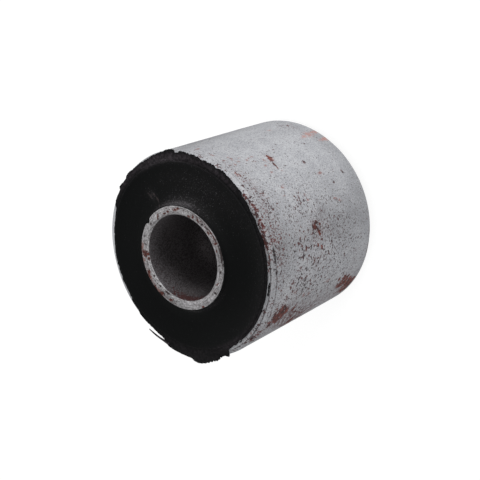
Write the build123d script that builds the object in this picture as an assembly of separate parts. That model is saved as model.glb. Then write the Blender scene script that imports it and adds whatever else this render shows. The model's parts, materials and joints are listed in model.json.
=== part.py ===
"""Rubber-metal bush: a steel outer sleeve and a steel inner sleeve with rubber moulded between them.

Millimetres. The bush's axis is Z and its centre is the origin. The front end, where the moulding has
left torn flash on the outer sleeve's end face, is +Z. Azimuths are in degrees from +X towards +Y.
"""

from build123d import *
import os
from math import radians, sin

os.makedirs("parts", exist_ok=True)

# ---- Driving dimensions -------------------------------------------------------------------------

# Outer sleeve: a tube, pressed into the eye of an arm or bracket.
outer_diameter = 48.0
outer_wall = 2.5
outer_length = 40.0
lead_in_depth = 0.6  # radial, turned on both outside edges
lead_in_length = 1.1  # axial

# Inner sleeve: a tube for an M20 bolt, clamped on its two end faces.
bore_diameter = 20.0
inner_wall = 2.0
stand_out = 2.0  # of the inner sleeve beyond the outer one, at each end
bore_chamfer = 0.4
inner_edge_chamfer = 0.1

# Rubber moulding. Both ends are dished alike: from a bevelled lip that stands out over the outer
# sleeve's wall the dish slopes down to a meniscus that climbs the inner sleeve.
twist_clearance = 0.02  # radial, between the rubber and the sleeve that turns in it
climb_shortfall = 0.15  # how far short of the inner sleeve's end face the rubber stops
climb_skin = 0.3  # thickness of rubber on the inner sleeve where it stops
climb_straight = 0.2  # height of even skin, at least, above the meniscus
meniscus_share = 0.4  # of the width of rubber, from the inner sleeve to the meniscus's foot
meniscus_steepness = 0.7  # height over width, at most
dish_depth = 0.6  # of the meniscus's foot below the outer sleeve's end face
lip_overlap = 0.3  # over the outer sleeve's wall
lip_height = 0.4  # above the film
lip_bevel = 0.35

# Film of rubber on the outer sleeve's end faces, and its torn flash at the front end.
film_thickness = 0.3
film_margin = 0.5  # clean film beyond the lip
tear_depth = 0.1
tear_waves = (11, 17, 29)  # ragged waves around the edge
points_per_tear_wave = 3
# Each stretch of flash: azimuth of its middle, half its width in degrees, reach beyond the film.
flash_stretches = (
    (342.0, 58.0, 1.2),
    (254.0, 28.0, 0.6),
    (156.0, 24.0, 3.0),
    (117.0, 20.0, 1.1),
)

# ---- Sizes worked out from them -----------------------------------------------------------------

outer_radius = outer_diameter / 2
outer_bore_radius = outer_radius - outer_wall
outer_end = outer_length / 2
bore_radius = bore_diameter / 2
inner_radius = bore_radius + inner_wall
inner_length = outer_length + 2 * stand_out
inner_end = inner_length / 2

rubber_bore_radius = inner_radius + twist_clearance
climb_radius = rubber_bore_radius + climb_skin
climb_end = inner_end - climb_shortfall
dish_end = outer_end - dish_depth
film_end = outer_end + film_thickness
lip_end = film_end + lip_height
lip_radius = outer_bore_radius + lip_overlap
crest_radius = lip_radius - lip_bevel
meniscus_width = meniscus_share * (crest_radius - climb_radius)
meniscus_limit = climb_end - climb_straight - dish_end
meniscus_height = min(meniscus_steepness * meniscus_width, meniscus_limit)
film_radius = lip_radius + film_margin


# ---- Shared operations --------------------------------------------------------------------------


def turned(half_section):
    """A turned solid, from the front half of its section with X as radius and Y as height."""
    section = half_section + mirror(half_section, Plane.XZ)
    return revolve(Plane.XZ * section, Axis.Z)


def circles_at(solid, radius):
    """The circular edges of a turned solid that have this radius."""
    circles = solid.edges().filter_by(GeomType.CIRCLE)
    return [edge for edge in circles if abs(edge.radius - radius) < 1e-4]


# ---- Pieces -------------------------------------------------------------------------------------


def make_outer_sleeve():
    return turned(
        make_face(
            Polyline(
                (outer_bore_radius, 0),
                (outer_radius, 0),
                (outer_radius, outer_end - lead_in_length),
                (outer_radius - lead_in_depth, outer_end),
                (outer_bore_radius, outer_end),
                close=True,
            )
        )
    )


def make_inner_sleeve():
    sleeve = Cylinder(inner_radius, inner_length) - Cylinder(bore_radius, inner_length)
    sleeve = chamfer(circles_at(sleeve, bore_radius), bore_chamfer)
    return chamfer(circles_at(sleeve, inner_radius), inner_edge_chamfer)


def rubber_half_section():
    """The plug between the sleeves: bonded wall, climb, meniscus, dish and bevelled lip."""
    meniscus_top = Vector(climb_radius, dish_end + meniscus_height)
    meniscus_foot = Vector(climb_radius + meniscus_width, dish_end)
    crest = Vector(crest_radius, lip_end)
    outline = [
        Polyline(
            meniscus_foot,
            crest,
            (lip_radius, lip_end - lip_bevel),
            (lip_radius, outer_end),
            (outer_bore_radius, outer_end),
            (outer_bore_radius, 0),
            (rubber_bore_radius, 0),
            (rubber_bore_radius, climb_end),
            (climb_radius, climb_end),
            meniscus_top,
        ),
        TangentArc(meniscus_foot, meniscus_top, tangent=meniscus_foot - crest),
    ]
    return make_face(outline)


def flash_reach(azimuth):
    """How far the flash has run beyond the film: level within a stretch, falling off at its ends."""
    reach = 0.0
    for middle, half_width, extra in flash_stretches:
        offset = (azimuth - middle + 180) % 360 - 180
        share = min(abs(offset) / half_width, 1)
        reach = max(reach, extra * (1 - share**4))
    return reach


def flash_edge():
    """The torn edge of the film on the front end face: waves that are deeper where it reaches out."""
    count = max(tear_waves) * points_per_tear_wave
    points = []
    for step in range(count):
        azimuth = 360 * step / count
        reach = flash_reach(azimuth)
        waves = sum(sin(wave * radians(azimuth) + wave) for wave in tear_waves)
        radius = film_radius + reach + tear_depth * (0.3 + reach) * waves
        points.append(Vector(radius, 0).rotate(Axis.Z, azimuth))
    return Spline(points, periodic=True)


def film(edge):
    """Film of rubber on the front end face, from inside the lip out to a closed edge."""
    sheet = extrude(make_face(edge), film_thickness)
    return Pos(0, 0, outer_end) * (sheet - Cylinder(outer_bore_radius, 4 * film_thickness))


def make_rubber_body():
    plug = turned(rubber_half_section())
    rear_film = mirror(film(CenterArc((0, 0), film_radius, 0, 360)), Plane.XY)
    return plug + film(flash_edge()) + rear_film


for name, piece in {
    "outer_sleeve": make_outer_sleeve(),
    "inner_sleeve": make_inner_sleeve(),
    "rubber_body": make_rubber_body(),
}.items():
    export_step(piece, f"parts/{name}.step")
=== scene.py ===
"""Looks of the rubber-metal bush: rusted steel sleeves and a black rubber moulding with torn flash.

Sizes and places below are in millimetres and degrees, and MM turns them into Blender's metres. The
bush stands on its rear end, with its axis along Z. Azimuths go from +X towards +Y.
"""

import json
from math import cos, hypot, pi, radians, sin

import bpy
import numpy as np
from mathutils import Matrix, Vector, noise

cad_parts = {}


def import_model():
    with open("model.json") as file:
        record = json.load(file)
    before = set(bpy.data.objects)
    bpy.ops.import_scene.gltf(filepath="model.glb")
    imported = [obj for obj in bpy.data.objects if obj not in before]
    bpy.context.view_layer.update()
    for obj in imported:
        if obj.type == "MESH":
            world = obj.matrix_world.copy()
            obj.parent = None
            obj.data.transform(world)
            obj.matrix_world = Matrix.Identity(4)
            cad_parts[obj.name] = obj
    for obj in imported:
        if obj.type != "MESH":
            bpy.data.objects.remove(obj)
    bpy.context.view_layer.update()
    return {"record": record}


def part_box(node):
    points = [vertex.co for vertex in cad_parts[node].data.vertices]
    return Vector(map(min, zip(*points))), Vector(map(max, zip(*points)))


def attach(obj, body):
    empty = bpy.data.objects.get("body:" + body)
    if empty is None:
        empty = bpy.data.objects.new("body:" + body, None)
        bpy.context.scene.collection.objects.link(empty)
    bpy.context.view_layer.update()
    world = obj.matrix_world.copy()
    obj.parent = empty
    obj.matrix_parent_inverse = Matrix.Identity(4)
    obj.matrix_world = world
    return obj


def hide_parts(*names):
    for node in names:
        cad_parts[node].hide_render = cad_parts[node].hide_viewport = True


MM = 0.001

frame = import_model()

# ---- Sizes read from the frame ----


def top_corner(node):
    """Radius and height of a turned CAD node, from its box."""
    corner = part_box(node)[1]
    return corner.x / MM, corner.z / MM


def mount_radius(name):
    """Radius of a bore or pin mount."""
    for mount in frame["record"]["mounts"]:
        if mount["name"] == name:
            return mount["dims"]["r_mm"]


outer_radius = mount_radius("outer_seat")
bore_radius = mount_radius("bore")
outer_end = top_corner("outer_sleeve")[1]
inner_radius, inner_end = top_corner("inner_sleeve")
climb_end = top_corner("rubber_body")[1]

# ---- Sizes that the frame doesn't give, as in the CAD model ----

outer_wall = 2.5
lead_in_depth = 0.6
lead_in_length = 1.1
bore_chamfer = 0.4
inner_edge_chamfer = 0.1
skin_gap = 0.02
climb_skin = 0.3
meniscus_width = 3.65
dish_depth = 0.6
lip_overlap = 0.3
lip_height = 0.4
film_thickness = 0.3
film_margin = 0.5
crest_inset = 0.3

outer_bore_radius = outer_radius - outer_wall
end_face_radius = outer_radius - lead_in_depth
rubber_bore_radius = inner_radius + skin_gap
climb_radius = rubber_bore_radius + climb_skin
dish_end = outer_end - dish_depth
film_end = outer_end + film_thickness
lip_end = film_end + lip_height
lip_radius = outer_bore_radius + lip_overlap
crest_radius = lip_radius - crest_inset
shoulder = outer_end - lead_in_length

# ---- Turned meshes ----


def spaced(start, end, spacing):
    """Points from start up to end, without end, about spacing apart."""
    (r, z), (r_end, z_end) = start, end
    count = max(1, round(hypot(r_end - r, z_end - z) / spacing))
    return [(r + (r_end - r) * k / count, z + (z_end - z) * k / count) for k in range(count)]


def curve(start, pull, end, count):
    """Points on a curve from start to end that is bent towards pull."""
    shares = np.linspace(0, 1, count)
    return [tuple(start * (1 - t) ** 2 + pull * 2 * t * (1 - t) + end * t**2) for t in shares]


def tube_loop(corners, rear, front, steps=4):
    """The closed outline of a tube that is alike at both ends.

    The corners are those of its front end from the bore outwards: radius, height and rounding. Its
    points are spaced as rear says after each corner of the rear end, then as front says.
    """
    corners = [(r, -z, rounding) for r, z, rounding in corners] + list(reversed(corners))
    arcs = []
    for k, (r, z, rounding) in enumerate(corners):
        here = Vector((r, z))
        before = Vector(corners[k - 1][:2])
        after = Vector(corners[(k + 1) % len(corners)][:2])
        enter = here + (before - here).normalized() * rounding
        leave = here + (after - here).normalized() * rounding
        arcs.append(curve(enter, here, leave, steps + 1) if rounding else [here])
    outline = []
    for arc, after, gap in zip(arcs, arcs[1:] + arcs[:1], rear + front):
        outline += arc[:-1] + spaced(arc[-1], after[0], gap)
    return np.array(outline)


def turned_grid(loop, steps):
    """Radius, height and azimuth in radians at each point of a closed outline turned about Z."""
    azimuth = np.linspace(0, 2 * pi, steps, endpoint=False)
    radius, height = (np.repeat(loop[None, :, column], steps, axis=0) for column in (0, 1))
    return radius, height, np.repeat(azimuth[:, None], len(loop), axis=1)


def placed(name, data):
    """A new object in the scene."""
    piece = bpy.data.objects.new(name, data)
    bpy.context.scene.collection.objects.link(piece)
    return piece


def turned_mesh(name, radius, height, azimuth, sharp_angle=35.0):
    """A closed mesh through such a grid. The outline runs anticlockwise, so its faces look out."""
    points = np.stack([radius * np.cos(azimuth), radius * np.sin(azimuth), height], axis=-1) * MM
    here = np.arange(radius.size).reshape(radius.shape)
    turned = np.roll(here, -1, axis=0)
    corners = (here, turned, np.roll(turned, -1, axis=1), np.roll(here, -1, axis=1))
    faces = np.stack(corners, axis=-1).reshape(-1, 4)
    mesh = bpy.data.meshes.new(name)
    mesh.from_pydata(points.reshape(-1, 3).tolist(), [], faces.tolist())
    mesh.shade_smooth()
    mesh.set_sharp_from_angle(angle=radians(sharp_angle))
    return placed(name, mesh)


def give(piece, name, values):
    """Stores one number a vertex on the piece, for its material."""
    layer = piece.data.attributes.new(name, "FLOAT", "POINT")
    layer.data.foreach_set("value", np.ascontiguousarray(values, np.float32).ravel())


def turn_from(azimuth, middle):
    """Signed turn in degrees from a middle azimuth to each azimuth, which is in radians."""
    return (np.degrees(azimuth) - middle + 180) % 360 - 180


def patches(azimuth, height, radius, spots):
    """1 in the middle of the nearest spot, 0 on its edge, and down to -1 away from it.

    Each spot is azimuth, height, half length, half width and, unless 0, tilt. Its length lies along
    the surface, turned by the tilt from the way that azimuth grows towards the way that height does.
    """
    nearest = np.full(azimuth.shape, -1.0)
    for middle, level, half_length, half_width, *rest in spots:
        tilt = radians(rest[0]) if rest else 0.0
        across = np.radians(turn_from(azimuth, middle)) * radius
        up = height - level
        along = across * cos(tilt) + up * sin(tilt)
        aside = up * cos(tilt) - across * sin(tilt)
        nearest = np.maximum(nearest, 1 - np.hypot(along / half_length, aside / half_width))
    return nearest


def clouds(azimuth, height, fields):
    """Sum of soft round fields: azimuth, height, half width in degrees, half height, strength."""
    total = np.zeros(azimuth.shape)
    for middle, level, half_width, half_height, strength in fields:
        across = turn_from(azimuth, middle) / half_width
        total += strength * np.exp(-(across**2) - ((height - level) / half_height) ** 2)
    return total


WANDER_STEP = 17.3  # Between the noise of one seed and the next, in lumps.


def wander(azimuth, radius, height, size, seed, octaves=3):
    """Smooth noise from about -1 to 1 on the surface, in lumps of the given size."""
    x = radius * np.cos(azimuth) / size
    y = radius * np.sin(azimuth) / size
    z = height / size + seed * WANDER_STEP
    flat = [
        noise.fractal(Vector(p), 1.0, 2.0, octaves, noise_basis="PERLIN_ORIGINAL")
        for p in zip(x.ravel(), y.ravel(), z.ravel())
    ]
    return np.array(flat).reshape(azimuth.shape)


# ---- Materials ----

# How far the noise of one seed lies from the next along each axis.
SEED_STEP = (7.1, 3.7, 5.3)
# The level of noise above which bare blots show, and how far full cover lowers it.
BLOT_LEVEL = 0.7
BLOT_RANGE = 0.29
# Sockets of the Mix node for colours, whose names its other sockets share.
MIX_A, MIX_B, MIX_RESULT = 6, 7, 2


def join(tree, source, socket):
    """Sets a socket to a number, a colour or the output of another node."""
    if isinstance(source, bpy.types.NodeSocket):
        tree.links.new(source, socket)
    elif socket.type == "RGBA":
        socket.default_value = (*source, 1.0)
    else:
        socket.default_value = source


def new_node(tree, kind, inputs, output=0, **settings):
    """An output of a new shader node, which has the given inputs and settings."""
    node = tree.nodes.new("ShaderNode" + kind)
    for name, value in settings.items():
        setattr(node, name, value)
    for socket, source in inputs.items():
        join(tree, source, node.inputs[socket])
    return node.outputs[output]


class Finish:
    """A procedural material, with a Principled shader that is called bsdf."""

    def __init__(self, name, roughness, specular):
        self.material = bpy.data.materials.new(name)
        self.material.use_nodes = True
        self.tree = self.material.node_tree
        self.bsdf = self.tree.nodes["Principled BSDF"]
        self.bsdf.inputs["Roughness"].default_value = roughness
        self.bsdf.inputs["Specular IOR Level"].default_value = specular
        self.place = self.shade(self.add("TexCoord", {}, "Object"), 1 / MM)

    def add(self, kind, inputs, output=0, **settings):
        return new_node(self.tree, kind, inputs, output, **settings)

    def math(self, operation, a, b=0.0, c=0.0):
        return self.add("Math", {0: a, 1: b, 2: c}, operation=operation)

    def ramp(self, value, low, high, to_low=0.0, to_high=1.0):
        """The value taken smoothly from low..high to 0..1, or to the two numbers given."""
        span = {"From Min": low, "From Max": high, "To Min": to_low, "To Max": to_high}
        return self.add("MapRange", {"Value": value, **span}, "Result", interpolation_type="SMOOTHSTEP")

    def mix(self, share, a, b):
        """Colour a with a share of colour b laid over it."""
        return self.add("Mix", {0: share, MIX_A: a, MIX_B: b}, MIX_RESULT, data_type="RGBA")

    def shade(self, colour, factor):
        """A colour or a place times a number."""
        return self.add("VectorMath", {0: colour, "Scale": factor}, "Vector", operation="SCALE")

    def given(self, name):
        """A number that the mesh gives for each vertex."""
        return self.add("Attribute", {}, "Fac", attribute_name=name)

    def darker(self, colour, name):
        """A colour darkened by the share that the mesh gives."""
        return self.shade(colour, self.math("SUBTRACT", 1.0, self.given(name)))

    def turning(self):
        """Coordinates that run along the turning marks of a face: radius, then turn, in millimetres."""
        split = self.tree.nodes.new("ShaderNodeSeparateXYZ")
        join(self.tree, self.place, split.inputs[0])
        x, y, z = split.outputs
        radius = self.math("SQRT", self.math("MULTIPLY_ADD", x, x, self.math("MULTIPLY", y, y)))
        around = self.math("MULTIPLY", self.math("ARCTAN2", y, x), inner_radius)
        return self.add("CombineXYZ", {0: radius, 1: around, 2: z})

    def grain(self, size, seed, detail=3.0, rough=0.55, stretch=(1.0, 1.0, 1.0), place=None):
        """Noise from 0 to 1, in lumps of the given size in millimetres."""
        shift = tuple(seed * step for step in SEED_STEP)
        place = place or self.place
        place = self.add("Mapping", {"Vector": place, "Location": shift, "Scale": stretch})
        inputs = {"Vector": place, "Scale": 1 / size, "Detail": detail, "Roughness": rough}
        return self.add("TexNoise", inputs, "Fac")

    def blots(self, size, cover, seed, soft=0.025):
        """Ragged blots that cover about the given share of the surface."""
        lumps = self.grain(size, seed, rough=0.6)
        level = self.math("MULTIPLY_ADD", self.math("SQRT", cover), -BLOT_RANGE, BLOT_LEVEL)
        return self.ramp(self.math("SUBTRACT", lumps, level), 0.0, soft)

    def ragged(self, name, seed, size=0.6, depth=4.0, soft=0.25):
        """The spots that the mesh gives, with their edges broken up."""
        breakup = self.math("SUBTRACT", self.grain(size, seed, detail=5.0, rough=0.7), 0.5)
        edge = self.math("MULTIPLY_ADD", breakup, depth, self.given(name))
        return self.ramp(edge, 0.0, soft)

    def bump(self, height, strength, depth):
        """Fine relief, depth millimetres deep."""
        inputs = {"Strength": strength, "Distance": depth * MM, "Height": height}
        join(self.tree, self.add("Bump", inputs), self.bsdf.inputs["Normal"])

    def finished(self, base, layers):
        """The material, with its layers of share, strength and colour laid over a base."""
        for share, strength, colour in layers:
            base = self.mix(self.math("MULTIPLY", share, strength), base, colour)
        join(self.tree, base, self.bsdf.inputs["Base Color"])
        return self.material


# ---- Outer sleeve ----

SLEEVE_STEPS = 540
# Spots are as patches takes them, soft fields as clouds does; by radius, a radius stands in for height.

# Scabs of rust, by height.
SLEEVE_SCABS = (
    (210.8, 17.3, 1.1, 0.7, -20), (213.2, 18.1, 0.5, 0.5), (216.3, 16.6, 1.2, 0.9),
    (214.3, 15.2, 2.2, 1.6, -30), (211.5, 14.4, 1.2, 0.9), (217.4, 14.2, 1.8, 1.6),
    (220.6, 14.6, 0.7, 1.4), (216.2, 12.3, 1.5, 1), (213, 13, 1.2, 0.9), (221.6, 16.8, 0.5, 0.35),
    (213.8, 8.9, 0.7, 0.5), (216.4, 8.6, 0.5, 0.4), (199, 5.2, 1.8, 1.1, 20),
    (212.5, -10.7, 1, 1.8, -15), (217, -11.3, 1.3, 0.9), (218.6, -8.8, 0.6, 0.5),
    (217.4, -13, 0.7, 0.6), (213.6, -12.8, 1.5, 1.2), (210, -14.6, 1.8, 1.5, 20),
    (213.4, -14.8, 1.3, 1, 30), (207.6, -16.5, 2.2, 1.4), (203.8, -16, 1.8, 1.6),
    (204.5, -14.2, 1.3, 0.9, 20), (210.8, -17.4, 1, 0.7), (258.3, 3.4, 0.75, 0.95),
    (257, 2.6, 0.7, 0.5), (255.2, 2.2, 0.6, 0.4, 40), (253.7, 2, 0.4, 0.4), (260.5, 2.6, 0.5, 0.7),
    (258.8, 1.4, 0.3, 0.5), (250.7, 1.45, 0.5, 0.45), (246.4, 1.8, 0.6, 0.4, 25),
    (248.3, 3.25, 0.5, 0.35), (303.4, 4.6, 1.2, 0.5), (302.8, 4.1, 0.3, 0.5),
    (301.2, 4.9, 0.7, 0.3, -10), (297.6, 5.2, 1.4, 0.28, -4),
)
# Small dark marks.
SLEEVE_SPOTS = (
    (226, 14, 0.55, 0.45), (228.8, 12.3, 0.65, 0.4), (233.4, 12.4, 0.35, 0.9, -20),
    (231.6, 13, 0.3, 0.45), (227.4, 10.4, 0.5, 0.45), (234, 9.4, 0.55, 0.35), (231, 9, 0.35, 0.3),
    (239, 10.2, 0.45, 0.4, 30), (240.6, 9.9, 0.3, 0.75, -10), (253.6, 10.2, 0.5, 0.5, 45),
    (251.5, 9.1, 0.3, 0.4), (249, 7.8, 0.45, 0.4), (260, 8.9, 0.45, 0.3), (255, 7.8, 0.35, 0.25),
    (256.2, 11.8, 0.3, 0.2), (258, 12.2, 0.2, 0.15), (259.8, 12.8, 0.3, 0.25), (261, 13.8, 0.2, 0.35),
    (241.2, 12.5, 0.35, 0.25), (246, 8.2, 0.35, 0.2), (257, -1.4, 0.25, 0.4),
    (235.8, -3.6, 0.3, 0.5, -20), (247, -6, 0.25, 0.7), (272.6, 5.3, 0.5, 0.2, 20),
    (276.2, 5, 0.6, 0.25, -10), (278.4, 4.3, 0.4, 0.2), (293.5, -4.2, 0.6, 0.5, -10),
    (295.2, 2.4, 0.2, 0.3), (308, 0.6, 0.3, 0.35), (308.5, -8.4, 0.45, 0.28),
    (305.3, -10.1, 0.45, 0.35), (306.4, 15.3, 0.3, 0.25), (298.5, 13.3, 0.35, 0.3),
    (285.6, 14.6, 0.35, 0.3), (275.2, 14.8, 0.4, 0.35), (277.5, 6.3, 0.5, 0.25, 20),
    (275, 6, 0.25, 0.2), (292.3, 19, 0.5, 0.3), (290.2, 18.5, 0.3, 0.4, -20), (285.4, 19.1, 0.25, 0.6),
    (280.8, 19.4, 0.3, 0.6, -20), (278.2, 19.4, 0.3, 0.5), (277.3, 12.7, 0.2, 0.35, -20),
    (311.5, 16.8, 0.25, 0.25), (310.3, 8.8, 0.5, 0.15, -20), (329.4, 17.4, 0.25, 0.8, 25),
    (280.6, -14.4, 0.5, 0.45), (277, -9.4, 0.42, 0.4), (283.4, -11.4, 0.25, 0.25),
    (219.5, 18.7, 0.9, 0.2, -5), (232, -18.7, 4, 0.12), (243, -18.7, 1.2, 0.12),
)
# Chips along the front shoulder.
SHOULDER_CHIPS = (
    (252.4, 18.95, 1.1, 0.34), (255.6, 18.98, 0.75, 0.34), (249.6, 19, 0.45, 0.3),
    (246, 19.3, 0.4, 0.3, 80), (244, 18.95, 0.6, 0.3),
)
# Orange stains.
SLEEVE_STAINS = (
    (310.3, -12.9, 0.75, 2, 4), (311, -15.2, 1.55, 2.2, 4), (311.4, -17.8, 1.1, 2.5, 4),
    (303.7, -18, 1, 2.2), (303.9, -15.9, 0.45, 1), (326.4, -8, 0.5, 1.3), (254.6, 2.2, 1, 0.4, 25),
    (302.6, 4.1, 0.8, 0.6),
)
# Small reddish stains.
SLEEVE_FRECKLES = (
    (284, 8.3, 0.5, 0.75), (285.2, 7.6, 0.35, 0.4), (279.8, 9.2, 0.35, 0.5, -20), (294.1, 8, 0.45, 0.6),
    (299.2, 7.8, 0.45, 0.6), (293.2, 4.4, 0.4, 0.5), (301.5, 6.6, 0.45, 0.4), (303.4, 6.6, 0.4, 0.5),
    (304.1, 9.6, 0.3, 0.8, -10), (306.4, 11.1, 0.5, 0.4, -20), (307.2, 10, 0.35, 0.6),
    (307.9, 8.7, 0.35, 0.5), (307.5, 13.4, 0.5, 0.5), (309.8, 12.2, 0.4, 0.5),
    (311.2, 14.4, 1, 0.5, -8), (306.4, 15.4, 0.55, 0.6), (311.5, 16.7, 0.4, 0.5),
    (318.6, 17.1, 0.6, 0.4), (329.7, 16.5, 0.35, 1.2, 20), (299.6, 17.7, 0.9, 0.6, 15),
    (273.2, 2.5, 0.45, 0.5), (276.2, 2.8, 0.45, 0.55), (266.4, -8.6, 0.45, 0.6),
    (268.2, -7.2, 0.35, 1.1, -10), (284.3, -6.5, 0.5, 1.1), (221.5, 6.7, 0.8, 0.7),
    (220.5, 4.4, 0.8, 0.7), (227, 11, 0.5, 0.6), (222.7, -2.8, 0.6, 1.2),
)
# Scabs on the front end face, by radius.
FACE_SCABS = (
    (258, 23.2, 0.7, 0.35), (261, 23.05, 1, 0.5), (264.5, 22.95, 0.7, 0.35), (266.5, 23.3, 0.5, 0.2),
    (270.8, 22.95, 0.55, 0.3), (272.6, 23.45, 0.25, 0.4), (275.5, 23.4, 0.9, 0.2, 10),
    (279, 23.6, 0.45, 0.2), (281.4, 23.6, 0.5, 0.16), (283.8, 23.55, 0.4, 0.16), (286, 23.5, 0.3, 0.15),
    (287.8, 23.45, 0.4, 0.18), (270, 23.6, 0.5, 0.18), (249.7, 22.95, 0.4, 0.2),
    (246.8, 23.05, 0.3, 0.2), (221.1, 23, 0.4, 0.4), (211.2, 22.95, 0.45, 0.3), (201, 23.65, 0.9, 0.3),
    (195.8, 23.4, 0.45, 0.2), (184.8, 23.6, 0.25, 0.5),
)
# Soft fields on the sleeve, by height.
RUST_HAZE = (
    (214, 14, 10, 6, 0.5), (207, 9, 8, 4.5, 0.9), (201, 5, 10, 4, 0.9), (197, 1, 12, 6, 0.7),
    (202, 2, 8, 14, 0.25), (206, -4, 10, 6, 0.4), (207, -14, 12, 5, 0.8), (257, 2.5, 7, 2.5, 0.45),
    (303, 4.7, 4, 1.2, 0.3), (338, 14, 9, 4, 0.16), (340, 0, 8, 8, 0.08), (239, 4.2, 2.5, 1, 0.4),
    (226, 13, 6, 3, 0.15), (284, 16.5, 12, 2, 0.2), (299, 17.2, 7, 1.5, 0.2),
)
SMUDGES = (
    (226, 8, 2.6, 0.7, 0.75), (230.5, 7.3, 3, 0.55, 0.6), (264.5, -0.8, 4, 1.2, 0.9),
    (253, -2.6, 3.5, 1.1, 0.5), (227, -5, 3.5, 1.3, 0.5), (225, -3, 2.5, 0.8, 0.35),
    (205.5, 3, 2, 0.7, 0.7), (211, 3, 1.4, 0.6, 0.5), (216, 2.7, 1.4, 0.6, 0.4),
    (218.2, 1, 1.6, 0.6, 0.4), (214, 0.2, 1.4, 0.7, 0.4), (256, -13.4, 2.2, 0.7, 0.6),
    (227, -13, 5, 1.6, 0.4), (325, -13.6, 2.6, 1.2, 0.75), (322.3, -15.2, 2.5, 1, 0.5),
    (326, -16.3, 2, 0.8, 0.4), (321, -11, 1.8, 0.8, 0.35), (326, 12.5, 1.8, 0.9, 0.45),
    (319, 17, 2, 0.7, 0.3),
)
# Painted shade on the sleeve, by height; a negative strength is painted light.
SHADY = (
    (256, 4, 9, 16, 0.18), (256, -14, 12, 10, 0.1), (264, 17.5, 38, 5, 0.18),
    (308, 16.5, 12, 3.5, 0.04), (262, 18.3, 10, 1.5, 0.08), (282, -8, 10, 9, 0.06),
    (265, -2, 5, 3, 0.06), (250, -4, 6, 4, 0.06), (243, -10, 9, 4, 0.06), (244, 19.5, 9, 0.9, 0.12),
    (230, 19.3, 5, 0.9, 0.1), (305, -17, 9, 3, 0.1), (222, -16, 7, 5, -0.07), (272, -18, 50, 3.5, 0.16),
    (272, 0, 7, 30, 0.06), (210, -3, 12, 22, -0.1), (227, -9, 10, 12, -0.1), (257, 10, 12, 6, 0.05),
    (226, 15.5, 8, 4, -0.22), (254, 15.5, 12, 3, 0.08), (258, -8, 14, 9, 0.12), (324, 12, 8, 8, 0.05),
    (336, 0, 7, 12, -0.08), (347, 12, 12, 12, 0.22), (345, 2, 18, 30, 0.14),
    (338, 17.5, 2.5, 1.5, 0.12), (235, -10.5, 5, 3, 0.07), (300, 9, 16, 8, 0.02),
    (322, -2, 6, 14, 0.04),
)
# Where the steel is paler: bare steel that shows brighter and a painted highlight near the front edge;
# then where scabs are darker; a negative strength is paler.
PALE_STEEL_AND_HIGHLIGHT = ((343, 18, 3.5, 2.5, 0.3), (294, 19.45, 9, 0.5, 0.2), (318, 19.4, 5, 0.5, 0.15))
DEEP_RUST = (
    (258, 3, 4, 2, 0.4), (254, 2.4, 9, 3, 0.25), (303, 4.5, 5, 2, -0.15), (217, 14, 2.5, 1.5, 0.35),
    (210, 17, 1.5, 1, 0.4), (205, -16, 4, 2, 0.2),
)
# The share of the surface under specks.
DARK_SPECKS = (
    (226, 9, 12, 6, 0.14), (240, 7, 13, 6, 0.18), (246, -3, 15, 7, 0.09), (224, -3, 14, 9, 0.11),
    (214, -5, 9, 10, 0.09), (259, 4, 12, 6, 0.06), (248, 8, 10, 5, 0.08), (235, -13, 24, 5, 0.05),
    (222, 16.5, 9, 3, 0.14), (275, 5, 6, 2, 0.16), (256, 10.8, 5, 2.5, 0.2), (241, 9.5, 4, 2, 0.12),
    (250, -4, 6, 3, 0.05),
)
RED_SPECKS = (
    (280, 16.3, 11, 2, 0.27), (258, 17.2, 12, 2.4, 0.32), (262, 18.3, 9, 1.2, 0.17),
    (298, 17, 8, 1.4, 0.3), (240, 17, 12, 2, 0.18), (276, 10.5, 12, 3, 0.04), (205, 19.4, 7, 0.8, 0.15),
    (275, 15, 3, 1.2, 0.1), (274, 15.5, 5, 2, 0.12), (223, 17.2, 8, 2, 0.2), (318, 17, 14, 2.5, 0.08),
    (257, 3, 7, 2.6, 0.22), (300, 5.5, 6, 1.5, 0.1), (325, -14.5, 5, 2.4, 0.28), (225, 2, 20, 16, 0.05),
    (204, 18, 7, 2.5, 0.28), (205, 8, 9, 6, 0.18),
)
FINE_SPECKS = (
    (268, 3, 26, 12, 0.08), (274, 6, 12, 5, 0.07), (245, -6, 25, 10, 0.1), (252, -7, 12, 8, 0.08),
    (222, 14, 20, 6, 0.05), (310, 3, 22, 15, 0.04), (228, 5, 18, 14, 0.08), (262, 15, 25, 5, 0.08),
)
# Bands of rust and black dirt on the front end face and lead-in, by radius.
EDGE_RUST = (
    (261, 23.1, 5.5, 0.45, 0.8), (272, 23.35, 5, 0.35, 0.5), (283, 23.1, 5, 0.35, 0.5),
    (280, 23.6, 6, 0.22, 0.25), (270, 23.55, 4, 0.22, 0.3), (288.5, 23.35, 2.5, 0.25, 0.9),
    (268, 22.95, 3, 0.3, 0.4), (249, 22.8, 3, 0.3, 0.45), (220.5, 22.9, 1.5, 0.4, 0.6),
    (210, 22.8, 2.5, 0.35, 0.45), (201, 23.6, 7, 0.4, 0.4), (188, 23.5, 4, 0.4, 0.2),
    (306, 23.7, 4, 0.3, 0.3), (311, 23.6, 3, 0.3, 0.3), (322, 23.8, 2.5, 0.4, 0.4),
    (280, 23.8, 8, 0.4, 0.2), (350, 23.5, 12, 0.4, 0.2), (240, 23.6, 40, 0.6, 0.1),
)
# The far rim of the end face, paler where bare steel shows and with a painted highlight, by radius.
FAR_RIM = ((67, 23, 33, 2, 0.85),)
# How deep the turned grooves are around the end face and the shoulder, by azimuth alone.
FACE_GROOVE = ((212, 0, 32, 1, 1.3), (250, 0, 14, 1, 1.1))
SHOULDER_GROOVE = ((240, 0, 26, 1, 0.65), (285, 0, 35, 1, 0.25))
least_shoulder_groove = 0.1
groove_width = 0.1
groove_inset = 0.18  # From the end face's outer edge.

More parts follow.
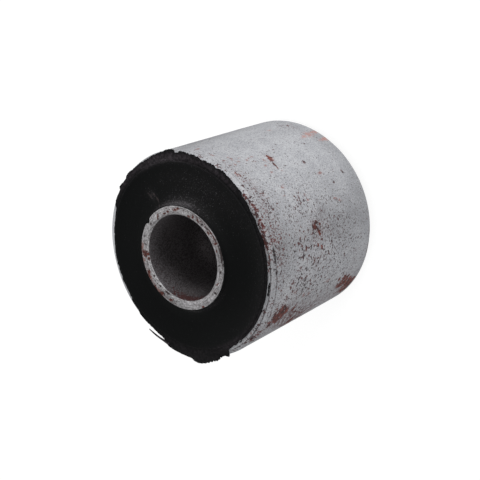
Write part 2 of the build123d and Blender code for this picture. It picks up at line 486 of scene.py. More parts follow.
# How far behind the front end face, or the shoulder, these reach.
face_depth = 0.1
rim_depth = 0.3
face_scab_depth = 0.6
edge_rust_fade = 0.2
# Relief of the surface, which fades out towards the bore.
skin_fade = 0.5
coating_inset = 0.05
dent_relief = 0.04
groove_relief = 0.05
scab_relief = 0.09
# Scabs grow by the first number, rise inwards by the second, and are lumpy by the third.
scab_growth = 0.1
scab_steepness = 1.3
scab_lumps = 0.4
least_fine_specks = 0.02  # Share of the surface, everywhere.

SLEEVE_CORNERS = (
    (outer_bore_radius, outer_end, 0.0),
    (end_face_radius, outer_end, 0.12),
    (outer_radius, shoulder, 0.2),
)


def groove(distance):
    """1 in the middle of a turned groove, and 0 away from it."""
    return np.exp(-((distance / groove_width) ** 2))


def front_grooves(radius, height, azimuth):
    """How deep in a turned groove a point of the front edge is, from 0 to 1."""
    on_face = groove(radius - end_face_radius + groove_inset) * (height > outer_end - face_depth)
    on_shoulder = groove(height - shoulder) * (radius > end_face_radius)
    face_share = clouds(azimuth, 0 * height, FACE_GROOVE)
    shoulder_share = least_shoulder_groove + clouds(azimuth, 0 * height, SHOULDER_GROOVE)
    return np.clip(on_face * face_share + on_shoulder * shoulder_share, 0, 1)


def outer_sleeve():
    outline = tube_loop(SLEEVE_CORNERS, rear=(1.0, 0.2, 0.4), front=(0.08, 0.08, 4.0))
    radius, height, azimuth = turned_grid(outline, SLEEVE_STEPS)
    skin = np.clip((radius - outer_bore_radius) / skin_fade, 0, 1)
    scabs = scab_growth + scab_steepness * patches(azimuth, height, outer_radius, SLEEVE_SCABS)
    crust = np.clip(scabs + scab_lumps * wander(azimuth, radius, height, size=0.7, seed=1), 0, 1)
    dents = wander(azimuth, radius, height, size=7.0, seed=2)
    chips = np.clip(3 * patches(azimuth, height, outer_radius, SHOULDER_CHIPS), 0, 1)
    grooves = np.maximum(front_grooves(radius, height, azimuth), chips)
    wear = dent_relief * dents - coating_inset - groove_relief * grooves + scab_relief * np.sqrt(crust)
    piece = turned_mesh("outer_sleeve_shell", radius + skin * wear, height, azimuth)
    give(piece, "scabs", scabs)
    give(piece, "grooves", grooves)
    spots = {"spots": SLEEVE_SPOTS, "stains": SLEEVE_STAINS, "freckles": SLEEVE_FRECKLES}
    for name, table in spots.items():
        give(piece, name, patches(azimuth, height, outer_radius, table))
    face_scabs = patches(azimuth, radius, outer_radius, FACE_SCABS)
    give(piece, "face_scabs", np.where(height > outer_end - face_scab_depth, face_scabs, -1.0))
    fields = {"haze": RUST_HAZE, "dark": DARK_SPECKS, "smudges": SMUDGES, "shady": SHADY}
    fields["deep"] = DEEP_RUST
    for name, table in fields.items():
        give(piece, name, clouds(azimuth, height, table))
    front = np.clip((height - shoulder + edge_rust_fade) / edge_rust_fade, 0, 1)
    edge_rust = clouds(azimuth, radius, EDGE_RUST) * front
    give(piece, "red", clouds(azimuth, height, RED_SPECKS) + edge_rust)
    give(piece, "fine", least_fine_specks + clouds(azimuth, height, FINE_SPECKS))
    far_rim = clouds(azimuth, radius, FAR_RIM) * (height > outer_end - rim_depth)
    give(piece, "pale", far_rim + clouds(azimuth, height, PALE_STEEL_AND_HIGHLIGHT))
    return piece


def sleeve_finish():
    steel = Finish("rusted_coated_steel", roughness=0.8, specular=0.08)
    mottle = steel.ramp(steel.grain(4.0, seed=1, detail=4.0), 0.4, 0.6)
    grit = steel.grain(0.35, seed=2, rough=0.7)
    base = steel.mix(mottle, (0.35, 0.356, 0.375), (0.385, 0.391, 0.409))
    base = steel.shade(base, steel.ramp(grit, 0.38, 0.62, to_low=1.14, to_high=0.82))
    # Paler steel with a painted highlight, then the painted shade and painted light of the shady fields.
    base = steel.darker(steel.mix(steel.given("pale"), base, (0.62, 0.63, 0.65)), "shady")
    patchy = steel.ramp(steel.grain(0.9, seed=3, detail=5.0, rough=0.7), 0.42, 0.58)
    gritty = steel.ramp(grit, 0.36, 0.5, to_low=0.7)
    tint = steel.ramp(steel.grain(1.5, seed=9), 0.42, 0.58)
    red = steel.mix(tint, (0.048, 0.024, 0.025), (0.105, 0.036, 0.034))
    dark = steel.mix(tint, (0.038, 0.024, 0.027), (0.085, 0.031, 0.03))
    spot = steel.mix(tint, (0.045, 0.026, 0.028), (0.1, 0.038, 0.036))
    face_scab = steel.mix(tint, (0.036, 0.017, 0.017), (0.072, 0.025, 0.023))
    scabs = steel.ragged("scabs", seed=11, size=0.7, depth=4.2, soft=0.35)
    crumbs = steel.ramp(steel.grain(0.9, seed=7, detail=5.0, rough=0.75), 0.4, 0.62)
    crust = steel.darker(steel.mix(crumbs, (0.048, 0.022, 0.021), (0.2, 0.062, 0.05)), "deep")
    steel.bump(steel.math("ADD", scabs, grit), strength=0.5, depth=0.05)
    layers = (
        (steel.math("MULTIPLY", patchy, steel.given("smudges")), 0.8, (0.13, 0.12, 0.125)),
        (steel.math("MULTIPLY", patchy, steel.given("haze")), 0.85, (0.115, 0.062, 0.062)),
        (steel.ragged("stains", seed=4, depth=3.0, soft=1.1), 0.75, (0.38, 0.16, 0.125)),
        (steel.ragged("freckles", seed=19, size=0.45, soft=0.8), 0.72, (0.22, 0.078, 0.064)),
        (steel.blots(0.42, steel.given("fine"), seed=8), 0.9, (0.065, 0.044, 0.045)),
        (steel.blots(0.44, steel.given("red"), seed=5), 0.92, red),
        (steel.blots(0.72, steel.given("dark"), seed=6), 0.92, dark),
        (steel.ragged("spots", seed=10, size=0.45, soft=0.4), 0.92, spot),
        (steel.math("MULTIPLY", steel.given("grooves"), gritty), 0.98, (0.026, 0.02, 0.021)),
        (steel.ragged("face_scabs", seed=12, size=0.5, depth=3.0), 0.92, face_scab),
        (scabs, 0.94, crust),
    )
    return steel.finished(base, layers)


# ---- Inner sleeve ----

TUBE_STEPS = 480
# Scabs, stains and dark spots on the front end face, by radius.
RING_SCABS = (
    (67.5, 10.8, 1, 0.8, 20), (66, 11.45, 0.6, 0.5, 60), (68, 10.2, 0.5, 0.4), (73.5, 10.25, 0.6, 0.25),
    (89.5, 11.2, 0.65, 0.5), (94, 11.65, 0.8, 0.28), (10.2, 10.6, 0.6, 0.3, -35),
    (8.3, 11, 0.5, 0.25, -45), (182.5, 11.8, 0.6, 0.35), (221.5, 10.95, 0.55, 0.25, 20),
    (270.5, 11.4, 0.6, 0.3, 80), (276.5, 11.65, 0.8, 0.22), (284, 11.6, 0.8, 0.22),
    (285, 10.9, 0.6, 0.3), (304, 10.9, 0.55, 0.28, 30), (312, 11, 0.6, 0.28, 80),
    (317.5, 10.5, 0.5, 0.45), (334.5, 11.5, 0.42, 0.28, -20), (339.3, 11.1, 0.42, 0.28, -20),
    (350.5, 10.85, 0.42, 0.34), (356.5, 10.65, 0.5, 0.25), (263, 10.9, 0.45, 0.22),
    (119, 11.8, 0.8, 0.3), (109, 11.85, 0.7, 0.25), (119.5, 11.3, 0.55, 0.3),
    (134, 11.2, 0.75, 0.35, -35),
)
RING_STAINS = (
    (59, 11.7, 1.2, 0.6), (75, 11.6, 0.7, 0.5), (94, 11.5, 1.6, 0.6), (115, 11.7, 1.8, 0.5),
    (338, 11.3, 1.3, 0.5),
)
RING_SPOTS = (
    (25, 10.9, 0.45, 0.22), (97.5, 10.4, 0.42, 0.26), (103, 10.8, 0.25, 0.2), (107.5, 10.6, 0.25, 0.2),
    (112.5, 10.4, 0.42, 0.26), (10.4, 10.6, 0.35, 0.2, -35), (116, 10.9, 0.25, 0.2),
    (121, 11.1, 0.8, 0.3, 15), (126.5, 10.3, 1.1, 0.22), (210, 11.4, 0.6, 0.35, 80),
    (55, 10.7, 0.5, 0.22, 85), (297.5, 11.1, 0.7, 0.28, 80), (290, 11.4, 0.8, 0.24, 10),
    (45, 11.2, 0.4, 0.2), (238, 11.3, 0.6, 0.3, 30), (252, 11.7, 1.4, 0.3), (258, 11.87, 4, 0.24),
    (273, 11.62, 0.9, 0.14), (279, 11.58, 1, 0.14), (285.5, 11.6, 0.8, 0.14), (296, 11.2, 0.5, 0.2, 60),
    (245, 10.8, 0.5, 0.2, 60),
)
# Darker fields on the face, by radius, some of them painted shade along its outer edge and the bore's
# edge; here and below a negative strength is brighter.
RING_SHADY = (
    (85, 11.2, 24, 2, 0.06), (82, 11.2, 5, 2, 0.1), (130, 11.4, 11, 0.45, 0.24),
    (127, 11.2, 13, 2, 0.17), (78, 11.9, 5, 0.3, 0.3), (283, 10.4, 10, 0.3, 0.15),
    (152, 11.2, 13, 2, 0.2), (150, 11.5, 9, 0.4, 0.12), (130, 10.75, 4, 0.35, 0.2),
    (255, 11.2, 16, 2, 0.26), (261, 11.3, 6, 0.5, 0.12), (308, 11.7, 8, 0.4, 0.1),
    (0, 11.7, 22, 0.4, -0.12), (352, 11.3, 8, 0.5, -0.12), (180, 10.7, 25, 0.4, -0.1),
    (166, 10.7, 16, 0.35, -0.14), (86, 11.7, 9, 0.35, -0.2), (190, 11.8, 5, 0.3, 0.12),
    (230, 11.8, 14, 0.3, 0.16), (260, 10.9, 5, 0.5, 0.14), (296, 10.75, 9, 0.35, -0.15),
    (336, 11.3, 7, 0.5, -0.12), (8, 11.5, 10, 0.5, -0.08), (303, 11.95, 22, 0.2, 0.3),
    (210, 11.3, 9, 0.5, -0.08), (302, 11.2, 12, 0.5, -0.06), (276, 10.7, 14, 0.4, -0.15),
    (232, 11.2, 9, 0.5, -0.12),
)
# The share of the face under red specks, by radius.
RING_RED = (
    (100, 11.7, 30, 0.4, 0.2), (281, 11.65, 15, 0.2, 0.5), (283, 11.15, 15, 0.25, 0.35),
    (305, 11.2, 10, 0.4, 0.35), (340, 11.2, 18, 0.8, 0.12), (0, 11.2, 400, 2, 0.02),
    (235, 11.3, 30, 0.8, 0.06),
)
# A brown cast, by radius.
RING_HAZE = ((103, 11.6, 23, 0.55, 0.8), (62, 11.75, 9, 0.45, 1), (283, 11.4, 22, 0.6, 0.3))
# The share of the bore under red specks, by height.
BORE_RED = ((158, 20.4, 28, 1.3, 1.2), (160, 18.6, 26, 1.4, 0.3), (0, 20.5, 200, 1, 0.05))
# Painted shade inside the bore, by height; a negative strength is painted light, as deep down.
BORE_PAINTED_LIGHT_AND_SHADE = (
    (76, 18, 26, 4, 0.35), (92, 2.5, 20, 3, -1.2), (148, 14.5, 18, 3.5, -0.7), (200, 17, 14, 3, -0.3),
)
# A darker field of painted shade on the wall that stands proud of the rubber, by height.
WALL_PAINTED_SHADE = ((310, 21, 35, 3, 0.72),)
# A turned groove near the outer edge of the face, by radius.
RING_GROOVE = ((315, 11.72, 30, 0.07, 1),)
# A nick in the front edge, which fades out over nick_fade towards the bore.
nick_azimuth = 26.0
nick_width = 3.0
nick_depth = 0.55
nick_reach = 0.6
nick_fade = 0.5
pit_depth = 0.03  # Of the scabs on the face.
pit_lumps = 0.4
wall_tolerance = 0.02

TUBE_CORNERS = (
    (bore_radius, inner_end - bore_chamfer, 0.08),
    (bore_radius + bore_chamfer, inner_end, 0.08),
    (inner_radius - inner_edge_chamfer, inner_end, 0.04),
    (inner_radius, inner_end - inner_edge_chamfer, 0.04),
)


def inner_sleeve():
    outline = tube_loop(TUBE_CORNERS, rear=(0.12, 0.2, 0.12, 1.5), front=(0.08, 0.08, 0.1, 0.5), steps=3)
    radius, height, azimuth = turned_grid(outline, TUBE_STEPS)
    front = height > inner_end - bore_chamfer
    nick = clouds(azimuth, 0 * height, ((nick_azimuth, 0, nick_width, 1, nick_depth),))
    outer_edge = np.clip((radius - inner_radius + nick_reach) / nick_fade, 0, 1) * front
    scabs = np.where(front, patches(azimuth, radius, radius, RING_SCABS), -1.0)
    crust = np.clip(scabs + pit_lumps * wander(azimuth, radius, height, size=0.6, seed=3), 0, 1)
    worn = radius - nick * outer_edge
    piece = turned_mesh("inner_sleeve_tube", worn, height - pit_depth * np.sqrt(crust), azimuth)
    give(piece, "scabs", scabs)
    for name, spots in (("stains", RING_STAINS), ("spots", RING_SPOTS)):
        give(piece, name, np.where(front, patches(azimuth, radius, radius, spots), -1.0))
    in_bore = radius < bore_radius + wall_tolerance
    on_wall = radius > inner_radius - wall_tolerance
    bore_red = clouds(azimuth, height, BORE_RED) * in_bore
    give(piece, "red", clouds(azimuth, radius, RING_RED) * front + bore_red)
    bore_painted_light_and_shade = clouds(azimuth, height, BORE_PAINTED_LIGHT_AND_SHADE) * in_bore
    wall_painted_shade = clouds(azimuth, height, WALL_PAINTED_SHADE) * on_wall
    give(piece, "shady", clouds(azimuth, radius, RING_SHADY) * front + bore_painted_light_and_shade + wall_painted_shade)
    for name, fields in (("grooves", RING_GROOVE), ("haze", RING_HAZE)):
        give(piece, name, clouds(azimuth, radius, fields) * front)
    give(piece, "bore", in_bore)
    give(piece, "depth", np.clip((inner_end - height) / inner_end, 0, 1))
    return piece


def tube_finish():
    steel = Finish("rusted_bare_steel", roughness=0.7, specular=0.1)
    along = steel.turning()
    marks = steel.grain(1.0, seed=12, detail=4.0, rough=0.65, stretch=(5.0, 0.7, 1.0), place=along)
    grit = steel.grain(0.35, seed=11, rough=0.7)
    base = steel.mix(steel.ramp(marks, 0.4, 0.62), (0.41, 0.405, 0.415), (0.2, 0.19, 0.195))
    base = steel.shade(base, steel.ramp(grit, 0.38, 0.62, to_low=1.28, to_high=0.66))
    dusting = steel.ramp(steel.grain(0.32, seed=18), 0.38, 0.62)
    scale = steel.mix(dusting, (0.118, 0.11, 0.116), (0.048, 0.042, 0.044))
    deeper = steel.mix(dusting, (0.09, 0.083, 0.086), (0.037, 0.032, 0.033))
    scale = steel.mix(steel.ramp(steel.given("depth"), 0.05, 0.35), scale, deeper)
    # Painted light: deep in the bore the scale is made up to 1.8 times brighter.
    scale = steel.shade(scale, steel.ramp(steel.given("depth"), 0.6, 0.9, to_low=1.0, to_high=1.8))
    # Then darker fields from the mesh: tone on the face, painted shade and painted light in the bore and
    # on the wall.
    base = steel.darker(steel.mix(steel.given("bore"), base, scale), "shady")
    crumbs = steel.ramp(steel.grain(0.4, seed=17, detail=4.0, rough=0.7), 0.4, 0.62)
    crust = steel.mix(crumbs, (0.035, 0.014, 0.012), (0.12, 0.034, 0.026))
    steel.bump(steel.math("ADD", marks, grit), strength=0.4, depth=0.04)
    layers = (
        (steel.math("MULTIPLY", steel.given("haze"), grit), 1.2, (0.13, 0.075, 0.068)),
        (steel.ragged("stains", seed=16, soft=0.8), 0.6, (0.2, 0.08, 0.06)),
        (steel.blots(0.42, steel.given("red"), seed=13), 0.92, (0.052, 0.019, 0.018)),
        (steel.given("grooves"), 0.8, (0.05, 0.042, 0.043)),
        (steel.ragged("spots", seed=14, size=0.4, depth=2.0, soft=0.5), 0.95, (0.02, 0.013, 0.013)),
        (steel.ragged("scabs", seed=15, size=0.5, depth=3.0), 0.96, crust),
    )
    return steel.finished(base, layers)


# ---- Rubber moulding ----

MOULDING_STEPS = 420
FLASH_STEPS = 1500
usual_tearing = 0.1
# Edge of the torn film on the front end face: azimuth, radius and, unless usual, how ragged it is.
FLASH_EDGE = (
    (0, 23.5, 0.2), (8, 23.46, 0.2), (13, 23.6, 0.2), (16, 23.75), (19.5, 23.7), (21, 23.25),
    (25, 23.4), (28.5, 23.7), (30, 23.2), (38, 23.2), (40.6, 23.1), (42.2, 22.4), (60, 22.35, 0.15),
    (75, 22.5, 0.2), (100.5, 22.55, 0.2), (101.5, 22.95), (109, 22.95), (111, 23.25), (118, 23.28),
    (120, 23.15), (131, 23.25), (133.5, 23.7), (135.5, 24.5), (137, 24.75), (142, 24.85), (147, 24.82),
    (152.8, 25), (154, 25.6), (156.3, 25.87), (158.5, 25.87, 0.15), (162.5, 25.45, 0.2),
    (165, 25.1, 0.4), (168, 24.7, 0.45), (171, 24.55, 0.5), (172.5, 24.6, 0.5), (175, 24.1, 0.5),
    (177.5, 23.75, 0.4), (179.5, 24.35, 0.3), (181.3, 24.1, 0.2), (182.2, 22.95, 0.15),
    (184, 22.6, 0.15), (188, 22.42, 0.12), (190, 22.55, 0.08), (192, 22.3, 0.06), (193.6, 22.08, 0.06),
    (195.5, 22.32, 0.06), (200, 22.35, 0.06), (230, 22.36, 0.06), (238, 22.4, 0.08), (246, 22.38),
    (256, 22.5, 0.12), (260, 22.72, 0.15), (264, 22.72, 0.15), (266.5, 22.5, 0.15), (279, 22.65, 0.2),
    (284, 23, 0.2), (287, 22.8, 0.2), (288.6, 23, 0.2), (289.6, 23.3, 0.2), (294, 23.42, 0.2),
    (300, 23.44, 0.3), (305, 23.72, 0.4), (308.5, 23.85, 0.4), (312, 23.7, 0.4), (315, 23.45, 0.4),
    (318.5, 23.2, 0.4), (323, 23.7, 0.4), (327.5, 23.5, 0.4), (330.5, 23.85, 0.3), (333.5, 24, 0.2),
    (335, 23.95), (335.5, 23.55), (338.2, 23.5), (338.7, 24.12), (341, 24.2, 0.15),
    (343.5, 24.15, 0.15), (348, 23.66, 0.3), (355, 23.57, 0.3),
)
# Tears along that edge: size of their lumps, seed and share of the raggedness.
TEARS = ((1.5, 5, 1), (0.5, 6, 0.5), (0.25, 8, 0.4))
# The film's section, by share of the way from the lip to the edge: the number of points on its top
# and where they end, then points of the edge with their share of the thickness, then the underside.
FILM_TOP = 16
FILM_TOP_END = 0.94
FILM_EDGE = ((0.97, 0.97), (0.99, 0.82), (1, 0.55), (0.992, 0.25), (0.975, 0.05))
FILM_UNDER = (0.9, 0.7, 0.4, 0.0)
# Dust on the rubber, by radius; beside the inner sleeve it is also painted sheen.
DUST_AND_SHEEN = (
    (336, 12.4, 22, 0.5, 1), (328, 13.2, 30, 1.2, 0.3), (318, 16, 40, 3, 0.19), (310, 19, 45, 3, 0.14),
    (156, 12.7, 14, 0.5, 0.6), (350, 22.2, 20, 0.8, 0.35), (12, 16, 4, 1.6, 0.35),
    (195, 12.5, 22, 0.4, 0.3), (5, 12.5, 20, 0.6, 0.3), (235, 21, 45, 2, 0.12),
)
# Scuffs in the dish, by radius, turned as on a circle of scuff_radius.
scuff_radius = 15.0
SCUFFS = (
    (14, 16.3, 0.9, 0.35, 80), (10, 15.9, 0.6, 0.3, 60), (8.3, 14.6, 1.3, 0.3, 75),
    (7, 13, 0.5, 0.25, 60),
)
# Where rubber is dull and grey rather than black, by radius: partly the film's own dusty grey, partly
# painted sheen, with a thin painted highlight along the lip; a negative strength is blacker.
DULL_AND_SHEEN = (
    (345, 22.5, 14, 0.9, 0.5), (349, 22.03, 12, 0.16, 0.85), (356, 22.3, 8, 0.15, -0.3),
    (22, 22.85, 12, 0.4, 0.35), (303, 23.1, 16, 0.4, 0.3), (2, 22.9, 30, 0.8, 0.42),
    (0, 21.75, 7, 0.5, 0.25), (187, 22, 16, 0.7, 0.55), (212, 22, 16, 0.6, 0.22),
    (240, 22.2, 30, 0.6, 0.13), (265, 22.4, 20, 0.5, 0.12), (303, 22.5, 14, 0.5, 0.45),
    (325, 22.7, 16, 0.8, 0.4), (155, 22.7, 22, 0.8, 0.22), (160, 24.4, 22, 1.2, 0.22),
)
# A sliver of film beside the end face: azimuth, radius, half width.
SLIVER = (
    (121.2, 24.2, 0.11), (124, 24.16, 0.17), (127, 24.1, 0.2), (130, 24, 0.22), (133, 23.9, 0.26),
    (137, 23.8, 0.4),
)
sliver_height = 20.2
sliver_points = 26
sliver_sides = 8
# Scraps of rubber on the end face: azimuth, radius, half length, half width.
END_FACE_SCRAPS = (
    (231.9, 22.8, 0.45, 0.22), (234, 22.84, 0.5, 0.2), (236.2, 22.8, 0.55, 0.24),
    (238.2, 22.88, 0.3, 0.14), (222, 22.7, 0.25, 0.1), (208.5, 22.9, 0.2, 0.12),
    (193.5, 22.5, 0.5, 0.12),
)
# Rounding of the top of the climb and of the rear film's edge: how far in, how far down.
CLIMB_ROUNDING = ((0.05, 0.02), (0, 0.12))
FILM_ROUNDING = ((0.08, 0), (0.02, 0.06), (0, 0.15))
# Rounding of the lip from its crest outwards: how far out, how far down.
LIP = ((0.14, 0.02), (0.25, 0.09), (0.3, 0.2), (0.31, 0.32))
# The dish rises to the lip by this share in a straight line, and by the rest in a cubic curve.
dish_straight = 0.35
dish_start = 0.05
curve_points = 20
coarse = 4.0  # Spacing of points on hidden walls.
climb_bevel = 0.1
meniscus_drop = 0.35
# The meniscus is pulled towards a point this far out from the climb and up from the dish.
meniscus_pull = (0.35, 0.25)
film_bulge = 0.25  # Share of its thickness.
film_droop = 0.16
film_edge_share = 0.08  # Of the film's width, along its edge.
tear_radius = 23.0


def moulding_outline():
    """Alike at both ends but for the film, which is plain and whole at the rear end."""
    crest = Vector((crest_radius, lip_end))
    foot = Vector((climb_radius + meniscus_width, dish_end))
    top = Vector((climb_radius, climb_end - meniscus_drop))
    pull = Vector((climb_radius, dish_end)) + Vector(meniscus_pull)
    inside = (rubber_bore_radius, climb_end - climb_bevel)
    climb = [inside, (rubber_bore_radius + climb_bevel, climb_end)]
    climb += [(climb_radius - inwards, climb_end - down) for inwards, down in CLIMB_ROUNDING]
    meniscus = curve(top, pull, foot, curve_points)
    dish = []
    for t in np.linspace(dish_start, 1, curve_points):
        rise = (dish_straight * t + (1 - dish_straight) * t**3) * (crest.y - foot.y)
        dish.append((foot.x + (crest.x - foot.x) * t, foot.y + rise))
    lip = [(crest.x + out, crest.y - down) for out, down in LIP]
    section = climb + meniscus + dish + lip
    wall = spaced((outer_bore_radius, outer_end - 0.4), (outer_bore_radius, 0), coarse)
    front = section + [(lip_radius + 0.02, outer_end), (outer_bore_radius, outer_end)] + wall
    edge = lip_radius + film_margin
    film = [(edge - inwards, film_end - down) for inwards, down in FILM_ROUNDING]
    film = [(lip_radius + 0.1, film_end)] + film + [(edge, outer_end)]
    rear = section + film + [(outer_bore_radius, outer_end)] + wall + [(outer_bore_radius, 0)]
    bore = spaced((rubber_bore_radius, 0), inside, coarse)
    loop = [(r, -z) for r, z in bore[1:] + rear] + [(r, z) for r, z in reversed(bore + front)]
    return np.array(loop)


def rubber_moulding():
    radius, height, azimuth = turned_grid(moulding_outline(), MOULDING_STEPS)
    piece = turned_mesh("rubber_moulding", radius, height, azimuth, sharp_angle=50.0)
    front = height > 0
    give(piece, "film", np.clip(clouds(azimuth, radius, DULL_AND_SHEEN), 0, 1) * front)
    give(piece, "dust", clouds(azimuth, radius, DUST_AND_SHEEN) * front)
    give(piece, "scuffs", np.where(front, patches(azimuth, radius, scuff_radius, SCUFFS), -1.0))
    return piece


def flash_film():
    azimuth = np.linspace(0, 2 * pi, FLASH_STEPS, endpoint=False)
    turns, edges, tearing = np.array([(*point, usual_tearing)[:3] for point in FLASH_EDGE]).T
    edge = np.interp(np.degrees(azimuth), turns, edges, period=360)
    circle = np.full(azimuth.shape, tear_radius)
    tears = 0
    for size, seed, share in TEARS:
        tears = tears + share * wander(azimuth, circle, 0 * azimuth, size, seed, octaves=2)
    edge = edge + np.interp(np.degrees(azimuth), turns, tearing, period=360) * tears
    shares = [(share, 1.0) for share in np.linspace(0.0, FILM_TOP_END, FILM_TOP)]
    shares += list(FILM_EDGE) + [(share, 0.0) for share in FILM_UNDER]
    share, level = np.array(shares).T
    radius = crest_radius + share[None, :] * (edge[:, None] - crest_radius)
    spread = np.repeat(azimuth[:, None], radius.shape[1], axis=1)
    beyond = np.clip(radius - end_face_radius, 0, None)
    lumps = wander(spread, radius, 0 * radius, size=0.9, seed=7, octaves=2)
    thickness = film_thickness * (1 + film_bulge * lumps)
    height = outer_end + thickness * level[None, :] - film_droop * beyond**1.5
    # The section is listed clockwise, so it is turned over to face outwards.
    radius, height, share = radius[:, ::-1], height[:, ::-1], share[::-1]
    piece = turned_mesh("flash_film", radius, height, spread, sharp_angle=60.0)
    dull = np.clip(clouds(spread, radius, DULL_AND_SHEEN), 0, 1)
    give(piece, "film", dull * np.clip((1.0 - share) / film_edge_share, 0, 1)[None, :])
    give(piece, "dust", clouds(spread, radius, DUST_AND_SHEEN))
    give(piece, "scuffs", np.full(radius.shape, -1.0))
    return piece


def at(azimuth, radius, height):
    """The point at an azimuth in degrees, a radius and a height."""
    turn = radians(azimuth)
    return Vector((radius * cos(turn), radius * sin(turn), height))


def crumb(name, points, faces, film):
    """A small smooth piece of rubber, with a share of dull film and no scuffs."""
    mesh = bpy.data.meshes.new(name)
    mesh.from_pydata([tuple(point * MM) for point in points], [], faces)
    mesh.shade_smooth()
    piece = placed(name, mesh)
    give(piece, "film", np.full(len(points), film))
    give(piece, "scuffs", np.full(len(points), -1.0))
    return piece


def flash_sliver():
    """A torn sliver of film that has come away from the end face but for its root."""
    turns, radii, halves = np.array(SLIVER).T
    places = np.linspace(turns[0], turns[-1], sliver_points)
    middles = [at(turn, np.interp(turn, turns, radii), sliver_height) for turn in places]
    last = sliver_points - 1
    sides = np.arange(sliver_sides)
    points = []
    faces = []
    for k, middle in enumerate(middles):
        along = (middles[min(k + 1, last)] - middles[max(k - 1, 0)]).normalized()
        aside = Vector((-along.y, along.x, 0)).normalized()
        half = np.interp(places[k], turns, halves)
        for way in 2 * pi * sides / sliver_sides:
            points.append(middle + aside * half * cos(way) + Vector((0, 0, half * sin(way))))
    for k in range(last):
        here = k * sliver_sides + sides
        beside = np.roll(here, -1)
        faces += np.stack([here, beside, beside + sliver_sides, here + sliver_sides], axis=1).tolist()
    faces += [sides[::-1].tolist(), (last * sliver_sides + sides).tolist()]
    return crumb("flash_sliver", points, faces, film=1.0)


scrap_rings = 6
scrap_sides = 20
scrap_thickness = 0.2
scrap_wobble = 0.45
wobble_radius = 1.7  # Of the circle in the noise that a scrap's edge follows.
wobble_step = 5.0  # In the noise, between scraps.


def scraps(name, places, seed):
    """Flat lumps: azimuth, radius, height, half length, half width, thickness."""
    points = []
    faces = []
    for number, (turn, out, level, half_length, half_width, thickness) in enumerate(places):
        first = len(points)
        middle = at(turn, out, level)
        outward = at(turn, 1, 0)
        along = Vector((-outward.y, outward.x, 0))
        up = Vector((0, 0, thickness))
        for ring in range(1, scrap_rings):
            tilt = pi * ring / scrap_rings
            for side in range(scrap_sides):
                way = 2 * pi * side / scrap_sides
                place = at(360 * side / scrap_sides, wobble_radius, seed + number * wobble_step)
                wobble = 1 + scrap_wobble * noise.noise(place)
                flat = along * half_length * cos(way) + outward * half_width * sin(way)
                points.append(middle + flat * sin(tilt) * wobble + up * cos(tilt))
        points += [middle + up, middle - up]
        top, bottom = len(points) - 2, len(points) - 1
        last = (scrap_rings - 2) * scrap_sides
        for side in range(scrap_sides):
            here, beside = first + side, first + (side + 1) % scrap_sides
            faces.append((top, here, beside))
            for a in range(0, last, scrap_sides):
                b = a + scrap_sides
                faces.append((here + a, here + b, beside + b, beside + a))
            faces.append((here + last, bottom, beside + last))
    return crumb(name, points, faces, film=0.0)


def end_face_scraps():
    places = []
    for turn, out, length, width in END_FACE_SCRAPS:
        places.append((turn, out, outer_end, length, width, scrap_thickness))
    return scraps("end_face_scraps", places, seed=3.0)


def ring_scrap():
    """Rubber that fills the nick in the inner sleeve's front edge."""
    place = (nick_azimuth, inner_radius - 0.32, inner_end - 0.1, 0.52, 0.42, 0.17)
    return scraps("ring_scrap", [place], seed=9.0)


def rubber_finish():
    rubber = Finish("black_rubber", roughness=0.75, specular=0.06)
    grit = rubber.grain(0.35, seed=21, detail=4.0, rough=0.65)
    crumbs = rubber.ramp(rubber.grain(0.6, seed=25, detail=4.0), 0.38, 0.62)
    film = rubber.mix(crumbs, (0.0135, 0.0115, 0.0133), (0.0445, 0.0375, 0.043))
    # The dull grey film over black rubber, partly painted sheen and highlight.
    base = rubber.mix(rubber.given("film"), (0.0032, 0.0036, 0.0037), film)
    powder = rubber.ramp(rubber.grain(0.18, seed=23), 0.4, 0.6, to_low=0.4)
    specks = rubber.math("MULTIPLY", rubber.given("dust"), 0.45)
    rubber.bump(grit, strength=0.5, depth=0.06)
    layers = (
        # Dust in a powder and in specks, with painted sheen beside the inner sleeve.
        (rubber.math("MULTIPLY", rubber.given("dust"), powder), 0.1, (0.3, 0.27, 0.285)),
        (rubber.blots(0.24, specks, seed=22, soft=0.06), 0.12, (0.5, 0.49, 0.52)),
        (rubber.ragged("scuffs", seed=24, size=0.4, soft=0.6), 0.35, (0.09, 0.07, 0.073)),
    )
    return rubber.finished(base, layers)


# ---- Assembly ----

# Each piece: how it is made, its material, its body, its slot and the CAD node that it stands for.
black_rubber = rubber_finish()
PIECES = (
    (outer_sleeve(), sleeve_finish(), "outer", "coated_steel", "outer_sleeve"),
    (inner_sleeve(), tube_finish(), "inner", "bare_steel", "inner_sleeve"),
    (rubber_moulding(), black_rubber, "outer", "rubber", "rubber_body"),
    (flash_film(), black_rubber, "outer", "rubber", "rubber_body"),
    (flash_sliver(), black_rubber, "outer", "rubber", "rubber_body"),
    (end_face_scraps(), black_rubber, "outer", "rubber", "rubber_body"),
    (ring_scrap(), black_rubber, "inner", "rubber", None),
)

for piece, material, body, slot, node in PIECES:
    piece.data.materials.append(material)
    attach(piece, body)
    if node:
        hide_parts(node)

# ---- Studio ----

FLOOR_SIZE = 6000.0
WHITE = (1.0, 1.0, 1.0)
# The floor bounces light as the first grey and is seen as the second, with a glow over it.
FLOOR_BOUNCE = (0.7, 0.7, 0.7)
FLOOR_SEEN = (0.25, 0.25, 0.25)
FLOOR_GLOW = 0.85


def background_share(tree):
    """1 for rays that show the background as it is: camera, glossy and transmission rays."""
    path = tree.nodes.new("ShaderNodeLightPath").outputs
    share = path["Is Camera Ray"]
    for name in ("Is Glossy Ray", "Is Transmission Ray"):
        share = new_node(tree, "Math", {0: share, 1: path[name]}, operation="MAXIMUM")
    return share


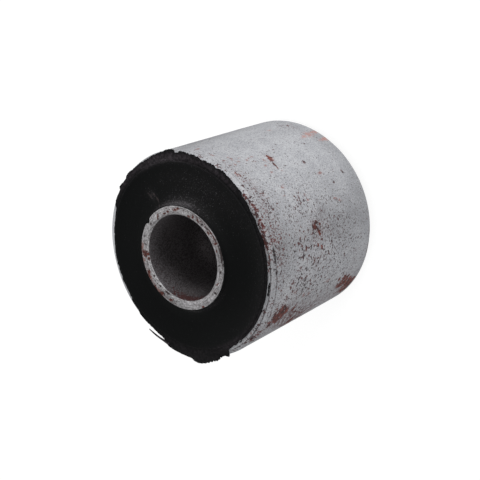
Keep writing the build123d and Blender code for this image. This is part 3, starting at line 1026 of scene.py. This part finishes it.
def floor():
    half = FLOOR_SIZE / 2 * MM
    level = -inner_end * MM
    mesh = bpy.data.meshes.new("floor")
    corners = [(-half, -half, level), (half, -half, level), (half, half, level), (-half, half, level)]
    mesh.from_pydata(corners, [], [(0, 1, 2, 3)])
    piece = placed("floor", mesh)
    material = bpy.data.materials.new("pale_floor")
    material.use_nodes = True
    tree = material.node_tree
    tree.nodes.clear()
    bounce = new_node(tree, "BsdfDiffuse", {"Color": FLOOR_BOUNCE})
    seen = new_node(tree, "BsdfDiffuse", {"Color": FLOOR_SEEN})
    glow = new_node(tree, "Emission", {"Strength": FLOOR_GLOW})
    both = new_node(tree, "AddShader", {0: seen, 1: glow})
    surface = new_node(tree, "MixShader", {0: background_share(tree), 1: bounce, 2: both})
    out = tree.nodes.new("ShaderNodeOutputMaterial")
    join(tree, surface, out.inputs["Surface"])
    piece.data.materials.append(material)


def world(strength):
    """White surroundings, seen at full strength, that light the bush at the given strength."""
    surroundings = bpy.data.worlds.new("studio")
    surroundings.use_nodes = True
    tree = surroundings.node_tree
    background = tree.nodes["Background"].inputs
    join(tree, WHITE, background["Color"])
    levels = {"Value": background_share(tree), "To Min": strength, "To Max": 1.0}
    join(tree, new_node(tree, "MapRange", levels, "Result"), background["Strength"])
    bpy.context.scene.world = surroundings


def softbox(name, azimuth, elevation, distance, size, power):
    """A square lamp that looks at the middle of the bush."""
    lamp = bpy.data.lights.new(name, "AREA")
    lamp.shape = "SQUARE"
    lamp.size = size * MM
    lamp.energy = power
    piece = placed(name, lamp)
    away = at(azimuth, cos(radians(elevation)), sin(radians(elevation)))
    piece.location = away * distance * MM
    piece.rotation_euler = away.to_track_quat("Z", "Y").to_euler()


CAMERA_PLACE = Vector((0.0, -154.396, 174.855))
CAMERA_RIGHT = Vector((-0.3831, -0.69122, -0.61274))
CAMERA_UP = Vector((0.92369, -0.28271, -0.25858))
CAMERA_LENS = 73.37
SENSOR_WIDTH = 36.0


def camera():
    view = bpy.data.cameras.new("camera")
    view.lens = CAMERA_LENS
    view.sensor_width = SENSOR_WIDTH
    view.clip_start = 0.01
    piece = placed("camera", view)
    back = CAMERA_RIGHT.cross(CAMERA_UP)
    turn = Matrix((CAMERA_RIGHT, CAMERA_UP, back)).transposed().to_4x4()
    piece.matrix_world = Matrix.Translation(CAMERA_PLACE * MM) @ turn
    bpy.context.scene.camera = piece


camera()
floor()
world(strength=0.7)
softbox("key_softbox", azimuth=307, elevation=12, distance=900, size=400, power=5.7)
bpy.context.scene.view_settings.view_transform = "Standard"

bpy.context.view_layer.update()
